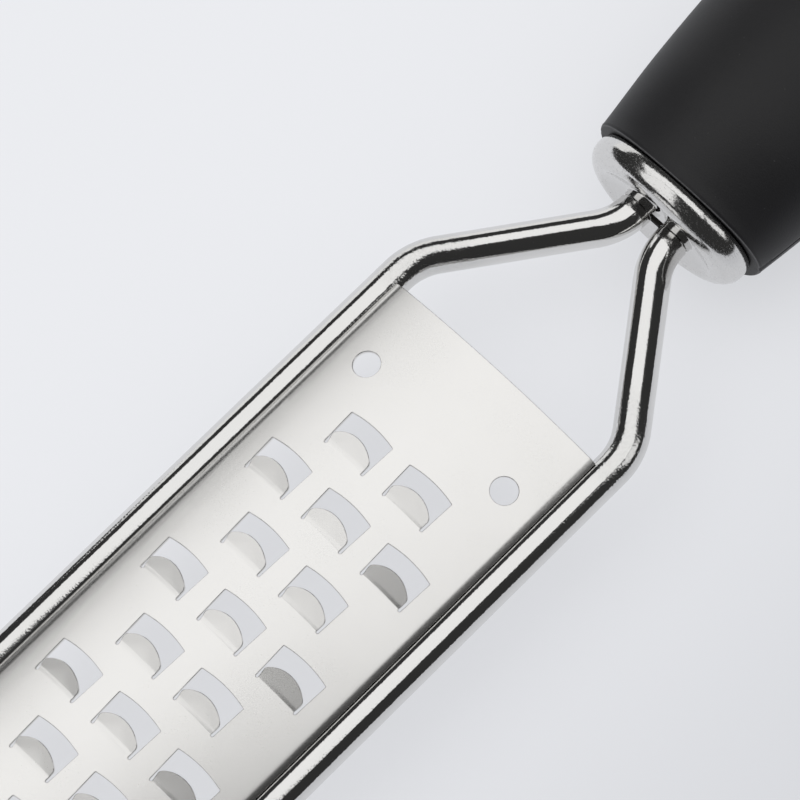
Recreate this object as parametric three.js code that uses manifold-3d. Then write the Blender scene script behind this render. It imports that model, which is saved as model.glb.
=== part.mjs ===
// Coarse grater: an arched, toothed blade welded into a bent rod frame, with a ferrule and an oval handle.
// Millimetres. +X runs towards the handle, +Y across the blade and +Z up out of the cutting side.
import * as THREE from 'three';
import { mergeGeometries, mergeVertices } from 'three/addons/utils/BufferGeometryUtils.js';
import Module from 'manifold-3d';

// Rod frame
const ROD_DIAMETER = 4.8;
const RAIL_SPACING = 37.3;
const NECK_ANGLE = 36.7;
const NECK_BEND_RADIUS = 9;
const NECK_SETBACK = 4.6;
const STUB_SPACING = 6.3;
const STUB_BEND_RADIUS = 9;
const ROD_END_STRAIGHT = 0.25;
const END_BEND_RADIUS = 12;
const END_GAP = 10.5;
const TENON_DIAMETER = 3;
const TENON_LENGTH = 6;

// Blade sheet
const BLADE_LENGTH = 149;
const SHEET = 0.5;
const ARCH_RADIUS = 75;
const LIP_ANGLE = 40;
const LIP_LENGTH = 0.7;
const LIP_BEND_RADIUS = 0.9;
const SEAT_ANGLE = 56;
const WELD_GAP = 0.2;
const HOLE_DIAMETER = 3.8;
const HOLE_SPACING = 24;
const HOLE_SETBACK = 10.2;

// Cutting windows and the tongues that stand up in them
const ROW_PITCH = 8.9;
const COLUMN_PITCH = 10.2;
const WIDE_ROW = 3;
const FIRST_ROW_SETBACK = 15.9;
const LAST_ROW_MARGIN = 10;
const WINDOW_LENGTH = 4.95;
const WINDOW_MOUTH = 7.3;
const WINDOW_ROOT = 6.95;
const WINDOW_BOW = 0.4;
const SLIT = 0.36;
const TONGUE_REACH = 2.68;
const TONGUE_TIP_WIDTH = 6.2;
const TONGUE_TIP_BOW = 1.3;
const TONGUE_CORNER = 0.75;
const TONGUE_ANGLE = 30;
const TONGUE_BEND_RADIUS = 1.5;
const TONGUE_TAIL = 0.8;
const TONGUE_SINK = 0.09;
const TONGUE_SEAT = 0.03;

// Ferrule
const FLATNESS = 0.745;
const FERRULE_HALF_WIDTH = 12.7;
const FERRULE_LENGTH = 3.75;
const FERRULE_CREST = 0.6;
const FERRULE_RIM_RADIUS = 2.7;
const FERRULE_BACK_RADIUS = 1.3;
const FACE_DISH = 1.6;
const STUB_STEP = 0.15;
const STUB_LENGTH = 1.25;
const STUB_FLARE = 1;
const SPIGOT_LENGTH = 4;
const TANG_LENGTH = 58;
const TANG_WIDTH = 8;
const TANG_THICKNESS = 4;

// Handle
const HANDLE_LENGTH = 118;
const FRONT_HALF_WIDTH = 14;
const FRONT_EDGE_RADIUS = 0.9;
const FRONT_FLARE_ANGLE = 8;
const SWELL_HALF_WIDTH = 17.4;
const SWELL_AT = 36;
const WAIST_HALF_WIDTH = 14.6;
const WAIST_AT = 78;
const TAIL_HALF_WIDTH = 15.8;
const TAIL_AT = 104;
const CORE_HALF_WIDTH = 9.2;
const CORE_LENGTH = 84;
const HANG_HOLE_DIAMETER = 8;
const HANG_HOLE_SETBACK = 12;

// Fits between the pieces
const CLEARANCE = 0.3;

// Facets
const ROD_SIDES = 16;
const BEND_STEP = 9;
const OVAL_SIDES = 36;
const HOLE_SIDES = 20;
const ARCH_STEPS = 14;
const SMALL_ARC_STEPS = 4;
const BOW_STEPS = 6;
const CORNER_STEPS = 2;
const PROFILE_STEPS = 6;

// Looks
const STEEL = { color: 0xcfcfcc, roughness: 0.2, metalness: 1 };
const SATIN_STEEL = { color: 0xdcdad5, roughness: 0.42, metalness: 1 };
const SOFT_BLACK = { color: 0x2b2b2d, roughness: 0.75, metalness: 0 };
const HARD_BLACK = { color: 0x1c1c1e, roughness: 0.5, metalness: 0 };

const wasm = await Module();
wasm.setup();

const radians = THREE.MathUtils.degToRad;
const rodRadius = ROD_DIAMETER / 2;
const railY = RAIL_SPACING / 2;
const stubY = STUB_SPACING / 2;

// Places along the grater, with X = 0 at the blade's handle end
const neckRise = (railY - stubY) / Math.tan(radians(NECK_ANGLE));
const neckCornerX = NECK_SETBACK;
const stubCornerX = neckCornerX + neckRise;
const stubBendReach = STUB_BEND_RADIUS * Math.tan(radians(NECK_ANGLE) / 2);
const rodEndX = stubCornerX + stubBendReach + ROD_END_STRAIGHT;
const stubX = rodEndX + CLEARANCE;
const faceX = stubX + STUB_LENGTH;
const rimX = faceX - FACE_DISH;
const ferruleBackX = rimX + FERRULE_LENGTH;
const handleX = ferruleBackX + CLEARANCE;
const coreX = ferruleBackX + SPIGOT_LENGTH + CLEARANCE;
const handleBackX = handleX + HANDLE_LENGTH;
const farX = -BLADE_LENGTH - END_GAP - rodRadius;

// A closed mesh with shared corners, as a solid that can be joined and cut
function toSolid(geometry) {
  const bare = geometry.clone();
  bare.deleteAttribute('normal');
  bare.deleteAttribute('uv');
  const merged = mergeVertices(bare);
  const index = merged.index.array;
  const triangles = [];
  for (let i = 0; i < index.length; i += 3) {
    const [a, b, c] = index.slice(i, i + 3);
    if (a !== b && b !== c && c !== a) triangles.push(a, b, c);
  }
  const vertProperties = new Float32Array(merged.attributes.position.array);
  const triVerts = new Uint32Array(triangles);
  return new wasm.Manifold(new wasm.Mesh({ numProp: 3, vertProperties, triVerts }));
}

function toGeometry(solid) {
  const mesh = solid.getMesh();
  const geometry = new THREE.BufferGeometry();
  geometry.setAttribute('position', new THREE.BufferAttribute(mesh.vertProperties, 3));
  geometry.setIndex(new THREE.BufferAttribute(mesh.triVerts, 1));
  return geometry;
}

function piece(name, geometry, looks) {
  const mesh = new THREE.Mesh(geometry, new THREE.MeshStandardMaterial(looks));
  mesh.name = name;
  geometry.computeVertexNormals();
  return mesh;
}

// Points along an arc, by its centre, radius and end angles
function arc(x, y, radius, from, to, steps) {
  const points = [];
  for (let i = 0; i <= steps; i++) {
    const angle = THREE.MathUtils.lerp(from, to, i / steps);
    points.push(new THREE.Vector2(x + radius * Math.cos(angle), y + radius * Math.sin(angle)));
  }
  return points;
}

// Points along a quarter oval of a profile, from one end to the other, by its centre and half axes
function quarterOval(x, y, halfWidth, halfLength, from, steps) {
  return arc(0, 0, 1, from, from + Math.PI / 2, steps).map(
    (p) => new THREE.Vector2(x + halfWidth * p.x, y + halfLength * p.y),
  );
}

// Points along the shallow arc that bows over a chord centred on the X axis, from -Y to +Y
function bow(x, chord, height, steps) {
  const radius = (chord * chord) / (8 * height) + height / 2;
  const half = Math.asin(chord / (2 * radius));
  return arc(x + height - radius, 0, radius, -half, half, steps);
}

function mirrored(points) {
  return points.map((p) => new THREE.Vector2(p.x, -p.y)).reverse();
}

// A plan outline carried up through a height
function prism(outline, bottom, top) {
  const options = { depth: top - bottom, bevelEnabled: false };
  return new THREE.ExtrudeGeometry(new THREE.Shape(outline), options).translate(0, 0, bottom);
}

// A half profile of (half width, X) turned round the X axis and flattened to an oval
function oval(profile, flatness, sides = OVAL_SIDES) {
  const geometry = new THREE.LatheGeometry(profile, sides);
  return geometry.rotateZ(-Math.PI / 2).scale(1, 1, flatness);
}

function round(x, y, diameter, length, sides) {
  const geometry = new THREE.CylinderGeometry(diameter / 2, diameter / 2, length, sides);
  return geometry.rotateZ(-Math.PI / 2).translate(x + length / 2, y, 0);
}

// Rod path: straight runs joined by arcs, with stations only where the rod starts, bends and ends
class BentRod extends THREE.Curve {
  constructor(corners, radii) {
    super();
    this.stations = [];
    const last = corners.length - 1;
    this.add(corners[0], this.heading(corners[0], corners[1]));
    radii.forEach((radius, i) => this.bend(corners[i], corners[i + 1], corners[i + 2], radius));
    this.add(corners[last], this.heading(corners[last - 1], corners[last]));
  }

  heading(from, to) {
    return Math.atan2(to.y - from.y, to.x - from.x);
  }

  add(point, heading) {
    const place = new THREE.Vector3(point.x, point.y, 0);
    const tangent = new THREE.Vector3(Math.cos(heading), Math.sin(heading), 0);
    this.stations.push({ place, tangent });
  }

  bend(before, corner, after, radius) {
    const start = this.heading(before, corner);
    const end = this.heading(corner, after);
    const turn = Math.atan2(Math.sin(end - start), Math.cos(end - start));
    const side = Math.sign(turn) * radius;
    const reach = radius * Math.tan(Math.abs(turn) / 2);
    const centreX = corner.x - reach * Math.cos(start) - side * Math.sin(start);
    const centreY = corner.y - reach * Math.sin(start) + side * Math.cos(start);
    const steps = Math.ceil(Math.abs(turn) / radians(BEND_STEP));
    for (let i = 0; i <= steps; i++) {
      const heading = start + (turn * i) / steps;
      const x = centreX + side * Math.sin(heading);
      const y = centreY - side * Math.cos(heading);
      this.add({ x, y }, heading);
    }
  }

  station(u) {
    return this.stations[Math.round(u * (this.stations.length - 1))];
  }

  getPointAt(u, target = new THREE.Vector3()) {
    return target.copy(this.station(u).place);
  }

  getTangentAt(u, target = new THREE.Vector3()) {
    return target.copy(this.station(u).tangent);
  }
}

// One rod from the first stub round the far end and back to the second, with a tenon at each end
function rodFrame() {
  const half = [
    new THREE.Vector2(rodEndX, stubY),
    new THREE.Vector2(stubCornerX, stubY),
    new THREE.Vector2(neckCornerX, railY),
    new THREE.Vector2(farX, railY),
  ];
  const radii = [STUB_BEND_RADIUS, NECK_BEND_RADIUS, END_BEND_RADIUS];
  const path = new BentRod([...half, ...mirrored(half)], [...radii, ...radii.toReversed()]);
  const section = new THREE.Shape(arc(0, 0, rodRadius, 0, 2 * Math.PI, ROD_SIDES).slice(1));
  const options = { steps: path.stations.length - 1, extrudePath: path };
  let rod = toSolid(new THREE.ExtrudeGeometry(section, options));
  const tenonX = rodEndX - ROD_END_STRAIGHT;
  for (const y of [stubY, -stubY]) {
    const length = ROD_END_STRAIGHT + TENON_LENGTH;
    rod = rod.add(toSolid(round(tenonX, y, TENON_DIAMETER, length, ROD_SIDES)));
  }
  return toGeometry(rod);
}

// Cross-section of the blade: the lips' feet seat on the inner shoulders of the rails
const lip = radians(LIP_ANGLE);
const seat = radians(SEAT_ANGLE);
const footY = railY - (rodRadius + WELD_GAP) * Math.cos(seat);
const footZ = (rodRadius + WELD_GAP) * Math.sin(seat);
const lipBendReach = LIP_BEND_RADIUS * Math.sin(lip) + LIP_LENGTH * Math.cos(lip);
const archSpan = Math.asin((footY - lipBendReach) / (ARCH_RADIUS - LIP_BEND_RADIUS));
const lipDrop = LIP_LENGTH * Math.sin(lip) - LIP_BEND_RADIUS * Math.cos(lip);
const archZ = footZ + lipDrop - (ARCH_RADIUS - LIP_BEND_RADIUS) * Math.cos(archSpan);
const crownZ = archZ + ARCH_RADIUS;

function bladeSection() {
  const up = Math.PI / 2;
  const bendY = (ARCH_RADIUS - LIP_BEND_RADIUS) * Math.sin(archSpan);
  const bendZ = archZ + (ARCH_RADIUS - LIP_BEND_RADIUS) * Math.cos(archSpan);
  const face = (depth) => {
    const radius = LIP_BEND_RADIUS - depth;
    const lipBend = arc(bendY, bendZ, radius, up - lip, up - archSpan, SMALL_ARC_STEPS);
    const foot = lipBend[0].clone();
    foot.x += LIP_LENGTH * Math.cos(lip);
    foot.y -= LIP_LENGTH * Math.sin(lip);
    const arch = arc(0, archZ, ARCH_RADIUS - depth, up - archSpan, up + archSpan, ARCH_STEPS);
    const half = [foot, ...lipBend.slice(0, -1)];
    const otherHalf = half.map((p) => new THREE.Vector2(-p.x, p.y)).reverse();
    return [...half, ...arch, ...otherHalf];
  };
  return [...face(0), ...face(SHEET).reverse()];
}

function bladeSheet() {
  const along = new THREE.Matrix4().makeBasis(
    new THREE.Vector3(0, 1, 0),
    new THREE.Vector3(0, 0, 1),
    new THREE.Vector3(1, 0, 0),
  );
  return prism(bladeSection(), -BLADE_LENGTH, 0).applyMatrix4(along);
}

// A window's outline, with X = 0 at the tongue's root and a round end to the slit on each side
function windowOutline() {
  const slitY = (WINDOW_ROOT - SLIT) / 2;
  const slitEnd = arc(0, slitY, SLIT / 2, Math.PI / 2, (3 * Math.PI) / 2, SMALL_ARC_STEPS);
  const mouth = bow(WINDOW_LENGTH, WINDOW_MOUTH, WINDOW_BOW, BOW_STEPS);
  return [...mouth, ...slitEnd, ...mirrored(slitEnd)];
}

// The tongue in plan: a tail inside the sheet and a bowed tip that runs smoothly into rounded corners
function tonguePlan() {
  const rootY = WINDOW_ROOT / 2 - SLIT - TONGUE_SINK;
  const tipY = TONGUE_TIP_WIDTH / 2;
  const tipRadius = (tipY * tipY) / (2 * TONGUE_TIP_BOW) + TONGUE_TIP_BOW / 2;
  const tipX = TONGUE_REACH - tipRadius;
  const inset = tipRadius - TONGUE_CORNER;
  const cornerY = tipY - TONGUE_CORNER;
  const half = Math.asin(cornerY / inset);
  const cornerX = tipX + inset * Math.cos(half);
  const tip = arc(tipX, 0, tipRadius, -half, half, BOW_STEPS);
  const corner = arc(cornerX, cornerY, TONGUE_CORNER, half, Math.PI / 2, CORNER_STEPS).slice(1);
  const root = [new THREE.Vector2(0, rootY), new THREE.Vector2(-TONGUE_TAIL, rootY)];
  const side = [...corner, ...root];
  return [...tip, ...side, ...mirrored(side)];
}

// The tongue from the side: flat in the sheet, then bent up
function tongueSide() {
  const tilt = radians(TONGUE_ANGLE);
  const down = -Math.PI / 2;
  const top = -TONGUE_SINK;
  const bottom = TONGUE_SEAT - SHEET;
  const run = TONGUE_REACH / Math.cos(tilt);
  const centreZ = top + TONGUE_BEND_RADIUS;
  const face = (radius) => {
    const bend = arc(0, centreZ, radius, down, down + tilt, SMALL_ARC_STEPS);
    const end = bend[SMALL_ARC_STEPS].clone();
    end.x += run * Math.cos(tilt);
    end.y += run * Math.sin(tilt);
    return [...bend, end];
  };
  const tail = [new THREE.Vector2(-TONGUE_TAIL, top), new THREE.Vector2(-TONGUE_TAIL, bottom)];
  const under = face(TONGUE_BEND_RADIUS + top - bottom);
  return [...tail, ...under, ...face(TONGUE_BEND_RADIUS).reverse()];
}

function tongue() {
  const rise = 2 * TONGUE_REACH;
  const plan = prism(tonguePlan(), -rise, rise);
  const side = prism(tongueSide(), -WINDOW_ROOT, WINDOW_ROOT).rotateX(Math.PI / 2);
  return toGeometry(toSolid(plan).intersect(toSolid(side)));
}

// Puts a shape made at the crown into its place along the blade and round the arch
function placedOnArch(geometry, x, across) {
  const turn = new THREE.Matrix4().makeRotationX(-across / ARCH_RADIUS);
  return geometry.clone().translate(0, 0, ARCH_RADIUS).applyMatrix4(turn).translate(x, 0, archZ);
}

function toothPlaces() {
  const room = BLADE_LENGTH - FIRST_ROW_SETBACK - WINDOW_LENGTH - LAST_ROW_MARGIN;
  const rows = 1 + Math.floor(room / ROW_PITCH);
  const places = [];
  for (let row = 0; row < rows; row++) {
    const x = -FIRST_ROW_SETBACK - row * ROW_PITCH - WINDOW_LENGTH;
    const columns = row % 2 ? WIDE_ROW : WIDE_ROW - 1;
    for (let column = 0; column < columns; column++) {
      places.push({ x, across: (column - (columns - 1) / 2) * COLUMN_PITCH });
    }
  }
  return places;
}

function blade() {
  const bare = toGeometry(toSolid(prism(windowOutline(), -2 * SHEET, SHEET)));
  const standing = tongue();
  const hole = toGeometry(toSolid(round(-2 * SHEET, 0, HOLE_DIAMETER, 3 * SHEET, HOLE_SIDES)));
  hole.rotateY(-Math.PI / 2);
  const places = toothPlaces();
  const windows = places.map((p) => placedOnArch(bare, p.x, p.across));
  const tongues = places.map((p) => placedOnArch(standing, p.x, p.across));
  const holes = [-1, 1].map((s) => placedOnArch(hole, -HOLE_SETBACK, (s * HOLE_SPACING) / 2));
  const pierced = toSolid(bladeSheet()).subtract(toSolid(mergeGeometries([...windows, ...holes])));
  return toGeometry(pierced.add(toSolid(mergeGeometries(tongues))));
}

// Oval cap with a dished face and a rounded rim, a spigot behind it, two flared stubs in front and a tang
function ferrule() {
  const rim = FERRULE_RIM_RADIUS;
  const rimY = FERRULE_HALF_WIDTH - rim;
  const back = FERRULE_BACK_RADIUS;
  const backY = FERRULE_HALF_WIDTH - back;
  const rimLength = FERRULE_CREST * FERRULE_LENGTH;
  const crestX = rimX + rimLength;
  const dishRadius = (rimY * rimY) / (2 * FACE_DISH) + FACE_DISH / 2;
  const dishSpan = Math.asin(rimY / dishRadius);
  const dish = arc(0, faceX - dishRadius, dishRadius, Math.PI / 2, Math.PI / 2 - dishSpan, SMALL_ARC_STEPS);
  dish[0].x = 0;
  const cap = [
    ...dish.slice(0, -1),
    ...quarterOval(rimY, crestX, rim, rimLength, -Math.PI / 2, PROFILE_STEPS),
    ...quarterOval(backY, crestX, back, FERRULE_LENGTH - rimLength, 0, SMALL_ARC_STEPS).slice(1),
    new THREE.Vector2(CORE_HALF_WIDTH, ferruleBackX),
    new THREE.Vector2(CORE_HALF_WIDTH, ferruleBackX + SPIGOT_LENGTH),
    new THREE.Vector2(0, ferruleBackX + SPIGOT_LENGTH),
  ];
  let solid = toSolid(oval(cap, FLATNESS));
  const tang = new THREE.BoxGeometry(TANG_LENGTH + SPIGOT_LENGTH, TANG_WIDTH, TANG_THICKNESS);
  solid = solid.add(toSolid(tang.translate(ferruleBackX + (TANG_LENGTH + SPIGOT_LENGTH) / 2, 0, 0)));
  const stubRadius = rodRadius - STUB_STEP;
  const stub = [
    new THREE.Vector2(0, stubX),
    new THREE.Vector2(stubRadius, stubX),
    ...arc(stubRadius + STUB_FLARE, faceX - STUB_FLARE, STUB_FLARE, Math.PI, Math.PI / 2, SMALL_ARC_STEPS),
    new THREE.Vector2(stubRadius + STUB_FLARE, faceX + STUB_FLARE),
    new THREE.Vector2(0, faceX + STUB_FLARE),
  ];
  for (const y of [stubY, -stubY]) {
    solid = solid.add(toSolid(oval(stub, 1, ROD_SIDES).translate(0, y, 0)));
  }
  const boreLength = TENON_LENGTH + CLEARANCE;
  for (const y of [stubY, -stubY]) {
    const bore = round(rodEndX, y, TENON_DIAMETER + 2 * CLEARANCE, boreLength, ROD_SIDES);
    solid = solid.subtract(toSolid(bore));
  }
  return toGeometry(solid);
}

// Oval plug behind the ferrule, with a slot for the tang
function handleCore() {
  const plug = [
    new THREE.Vector2(0, coreX),
    new THREE.Vector2(CORE_HALF_WIDTH, coreX),
    new THREE.Vector2(CORE_HALF_WIDTH, coreX + CORE_LENGTH),
    new THREE.Vector2(0, coreX + CORE_LENGTH),
  ];
  const room = 2 * CLEARANCE;
  const depth = TANG_LENGTH + CLEARANCE;
  const slot = new THREE.BoxGeometry(2 * depth, TANG_WIDTH + room, TANG_THICKNESS + room);
  slot.translate(ferruleBackX + SPIGOT_LENGTH, 0, 0);
  return toGeometry(toSolid(oval(plug, FLATNESS)).subtract(toSolid(slot)));
}

// Half outline of the grip: front edge, palm swell, waist, tail and a round end
function gripProfile() {
  const edge = FRONT_EDGE_RADIUS;
  const flare = radians(FRONT_FLARE_ANGLE);
  const edgeY = FRONT_HALF_WIDTH - edge;
  const front = arc(edgeY, handleX + edge, edge, -Math.PI / 2, 0, SMALL_ARC_STEPS);
  const third = (from, to) => (to - from) / 3;
  const path = new THREE.Path();
  let run = third(edge, SWELL_AT);
  path.moveTo(FRONT_HALF_WIDTH, handleX + edge);
  path.bezierCurveTo(
    FRONT_HALF_WIDTH + run * Math.tan(flare), handleX + edge + run,
    SWELL_HALF_WIDTH, handleX + SWELL_AT - run,
    SWELL_HALF_WIDTH, handleX + SWELL_AT,
  );
  run = third(SWELL_AT, WAIST_AT);
  path.bezierCurveTo(
    SWELL_HALF_WIDTH, handleX + SWELL_AT + run,
    WAIST_HALF_WIDTH, handleX + WAIST_AT - run,
    WAIST_HALF_WIDTH, handleX + WAIST_AT,
  );
  run = third(WAIST_AT, TAIL_AT);
  path.bezierCurveTo(
    WAIST_HALF_WIDTH, handleX + WAIST_AT + run,
    TAIL_HALF_WIDTH, handleX + TAIL_AT - run,
    TAIL_HALF_WIDTH, handleX + TAIL_AT,
  );
  path.bezierCurveTo(
    TAIL_HALF_WIDTH, handleBackX - third(TAIL_AT, HANDLE_LENGTH),
    TAIL_HALF_WIDTH / 2, handleBackX,
    0, handleBackX,
  );
  return [new THREE.Vector2(0, handleX), ...front, ...path.getPoints(PROFILE_STEPS).slice(1)];
}

// Soft sleeve over the spigot and the core, with a hanging hole through its solid tail
function handleGrip() {
  const cavityHalf = CORE_HALF_WIDTH + CLEARANCE;
  const cavityBackX = coreX + CORE_LENGTH + CLEARANCE;
  const cavity = [
    new THREE.Vector2(0, ferruleBackX),
    new THREE.Vector2(cavityHalf, ferruleBackX),
    new THREE.Vector2(cavityHalf, cavityBackX),
    new THREE.Vector2(0, cavityBackX),
  ];
  const through = 2 * SWELL_HALF_WIDTH;
  const hole = round(-through / 2, 0, HANG_HOLE_DIAMETER, through, HOLE_SIDES).rotateY(Math.PI / 2);
  hole.translate(handleBackX - HANG_HOLE_SETBACK, 0, 0);
  const cavityFlatness = (CORE_HALF_WIDTH * FLATNESS + CLEARANCE) / cavityHalf;
  const sleeve = toSolid(oval(gripProfile(), FLATNESS)).subtract(toSolid(oval(cavity, cavityFlatness)));
  return toGeometry(sleeve.subtract(toSolid(hole)));
}

const grater = new THREE.Group();
grater.add(piece('grater_blade', blade(), SATIN_STEEL));
grater.add(piece('wire_frame', rodFrame(), STEEL));
grater.add(piece('ferrule', ferrule(), STEEL));
grater.add(piece('handle_core', handleCore(), HARD_BLACK));
grater.add(piece('handle_grip', handleGrip(), SOFT_BLACK));

// The origin lies halfway along the grater, in the plane of the rod frame
grater.position.x = -(farX - rodRadius + handleBackX) / 2;

export default grater;
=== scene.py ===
"""A coarse grater, modelled piece by piece on its packed frame, and the studio it is shown in."""

import math

import bmesh
import bpy
from mathutils import Matrix, Vector
from mathutils.geometry import interpolate_bezier


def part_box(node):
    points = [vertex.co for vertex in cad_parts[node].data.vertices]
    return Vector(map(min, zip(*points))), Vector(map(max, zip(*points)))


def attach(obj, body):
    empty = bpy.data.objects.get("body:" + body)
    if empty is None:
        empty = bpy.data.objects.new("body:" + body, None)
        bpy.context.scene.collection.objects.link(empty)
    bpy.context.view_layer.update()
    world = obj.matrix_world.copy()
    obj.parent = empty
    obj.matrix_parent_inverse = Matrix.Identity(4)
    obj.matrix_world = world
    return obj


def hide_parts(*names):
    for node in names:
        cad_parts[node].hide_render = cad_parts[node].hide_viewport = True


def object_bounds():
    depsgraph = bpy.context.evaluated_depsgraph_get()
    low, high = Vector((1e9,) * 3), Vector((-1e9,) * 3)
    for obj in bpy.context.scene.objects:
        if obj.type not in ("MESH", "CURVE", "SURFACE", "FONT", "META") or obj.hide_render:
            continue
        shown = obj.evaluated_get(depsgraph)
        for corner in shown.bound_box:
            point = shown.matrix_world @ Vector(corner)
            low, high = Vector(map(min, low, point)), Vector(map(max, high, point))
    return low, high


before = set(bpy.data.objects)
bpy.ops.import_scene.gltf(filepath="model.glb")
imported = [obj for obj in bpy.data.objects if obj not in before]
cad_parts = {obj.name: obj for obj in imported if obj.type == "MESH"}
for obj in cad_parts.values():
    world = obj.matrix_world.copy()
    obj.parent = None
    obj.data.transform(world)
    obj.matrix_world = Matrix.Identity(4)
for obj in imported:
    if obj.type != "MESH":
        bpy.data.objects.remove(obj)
solid_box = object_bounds()

bl_info = {
    "name": "Coarse Grater",
    "version": (1, 0, 0),
    "blender": (4, 5, 0),
    "location": "3D View > Sidebar > Grater",
    "description": "Builds a hand-held coarse grater and the studio it is shown in",
    "category": "Object",
}

MM = 0.001
BODY = "root"
QUARTER = math.pi / 2
WELD = 1e-7  # points closer than this are one
OVAL = 0.5523  # handle of a curve that draws a quarter of an oval, as a share of its axis

blade_low, blade_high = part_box("grater_blade")
rod_low, rod_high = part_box("wire_frame")
core_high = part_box("handle_core")[1]
grip_low, grip_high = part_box("handle_grip")


def number(name, default, about, **more):
    return bpy.props.FloatProperty(name=name, description=about, default=default, **more)


def length(name, millimetres, about):
    return number(name, millimetres * MM, about, precision=5, unit="LENGTH", subtype="DISTANCE")


def angle(name, degrees, about):
    return number(name, math.radians(degrees), about, unit="ROTATION", subtype="ANGLE")


def share(name, default, about):
    return number(name, default, about, min=0, max=1, subtype="FACTOR")


def level(name, default, about):
    return number(name, default, about, min=0)


def count(name, default, about):
    return bpy.props.IntProperty(name=name, description=about, default=default, min=1)


def tint(name, default, about):
    return bpy.props.FloatVectorProperty(
        name=name, description=about, default=default, min=0, max=1, size=3, subtype="COLOR"
    )


def group(name, kind):
    return bpy.props.PointerProperty(name=name, description=kind.__doc__, type=kind)


class BladeSizes(bpy.types.PropertyGroup):
    """Sizes of the toothed blade."""

    span: length("Length", (blade_high.x - blade_low.x) / MM, "Length of the blade")
    sheet: length("Sheet", 0.5, "Thickness of the sheet")
    arch: length("Arch radius", 75, "Radius of the arch, on the cutting side")
    seat: angle("Seat", 56, "Where the lips sit on the rails, above the rails' middle plane")
    weld: length("Weld gap", 0.12, "Gap between the lips and the rails")
    lip_angle: angle("Lip angle", 40, "Slope of the lips")
    lip: length("Lip", 0.1, "Flat width of a lip")
    lip_bend: length("Lip bend", 2.4, "Radius of the bend between the arch and a lip")
    hole: length("Hole", 3.7, "Diameter of the two round holes")
    hole_spacing: length("Hole spacing", 24, "Distance between the round holes")
    hole_setback: length("Hole setback", 10.44, "Distance of the round holes from the blade's end")
    rows: count("Rows", 14, "Rows of teeth, with two and three teeth by turns")
    row_pitch: length("Row pitch", 8.9, "Distance between rows")
    column_pitch: length("Column pitch", 10.2, "Distance between teeth in a row")
    first_row: length("First row", 16.14, "Distance of the first row from the blade's end")
    window: length("Window", 4.95, "Length of a window beside the tongue")
    mouth: length("Mouth", 7.3, "Width of a window at its mouth")
    mouth_bow: length("Mouth bow", 0.4, "Bow of a window's mouth")
    mouth_corner: length("Mouth corner", 0.22, "Rounding of a window's corners")
    root: length("Root", 6.95, "Width of a window at the tongue's root")
    slit: length("Slit", 0.48, "Width of the slit on each side of a tongue")
    reach: length("Reach", 2.68, "How far a tongue reaches into its window")
    tip: length("Tip", 6.2, "Width of a tongue's tip")
    tip_bow: length("Tip bow", 1.3, "Bow of a tongue's tip")
    tip_corner: length("Tip corner", 0.75, "Rounding of a tip's corners")
    rise: angle("Rise", 28, "How steeply a tongue stands up")
    bend: length("Bend", 1.5, "Radius of the bend at a tongue's root")
    grind: length("Grind", 0.24, "How far a tongue's tip is ground back underneath")
    edge: length("Cut edge", 0.06, "Width of the broken cut edges")
    overhang: length("Overhang", 0.24, "How far the blade reaches on towards the handle")


class RodSizes(bpy.types.PropertyGroup):
    """Sizes of the bent rod frame."""

    rod: length("Rod", (rod_high.z - rod_low.z) / MM, "Diameter of the rod")
    rails: length("Rails", 37.3, "Distance between the rails' centre lines")
    neck_angle: angle("Neck angle", 36.7, "Slope of the necks")
    neck_bend: length("Neck bend", 9, "Radius of the bends between rails and necks")
    neck_setback: length("Neck setback", 4.6, "Distance of the necks' corners from the blade")
    stubs: length("Stub spacing", 6.3, "Distance between the rod's two ends")
    stub_bend: length("Stub bend", 9, "Radius of the bends at the rod's ends")
    end_straight: length("End straight", 0.25, "Straight run at the rod's ends")
    end_edge: length("End edge", 0.03, "Rounding of the rod's ends")
    end_slant: angle("End slant", 2.4, "How far the rod's ends are cut off square")
    far_bend: length("Far bend", 12, "Radius of the bends at the far end")
    tenon: length("Tenon", 3, "Diameter of the tenons")
    tenon_length: length("Tenon length", 5.8, "Length of the tenons")


class FerruleSizes(bpy.types.PropertyGroup):
    """Sizes of the ferrule."""

    flatness: share("Flatness", 0.745, "Height of the ferrule and the handle over their width")
    half_width: length("Half width", 12.6, "Half width of the ferrule")
    tuck: length("Tuck", 0.2, "How far the rim reaches back, past the front of the packed grip")
    depth: length("Depth", 4.25, "Length of the ferrule's rim")
    crest: share("Crest", 0.66, "Where the ferrule is widest, as a share of its depth")
    bow: length("Bow", 0.88, "How far the joint with the grip bows forward, above and below")
    rim: length("Rim", 3, "How far the rim's front rounds in")
    back: length("Back", 0.5, "How far the rim's back rounds in")
    dish: length("Dish", 1.6, "How far the face is dished")
    stub_step: length("Stub step", 0.02, "How much the stubs are thinner than the rod")
    stub: length("Stub", 1.49, "Length of the stubs")
    flare: length("Flare", 0.7, "Radius of the flare where a stub meets the face")
    # The web is a near-black block that fills the gap between the stubs.
    web: length("Web", 0.55, "Length of the weld between the stubs")
    web_width: length("Web width", 1.9, "Width of the weld between the stubs")
    web_height: length("Web height", 1, "Height of the weld between the stubs")
    spigot: length("Spigot", 3.5, "Length of the spigot inside the handle")
    spigot_half: length("Spigot half width", 9.2, "Half width of the spigot")
    tang: length("Tang", 58, "Length of the tang")
    tang_width: length("Tang width", 8, "Width of the tang")
    tang_height: length("Tang height", 4, "Thickness of the tang")
    bore: length("Bore", 3.3, "Diameter of the bores for the rod's tenons")


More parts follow.
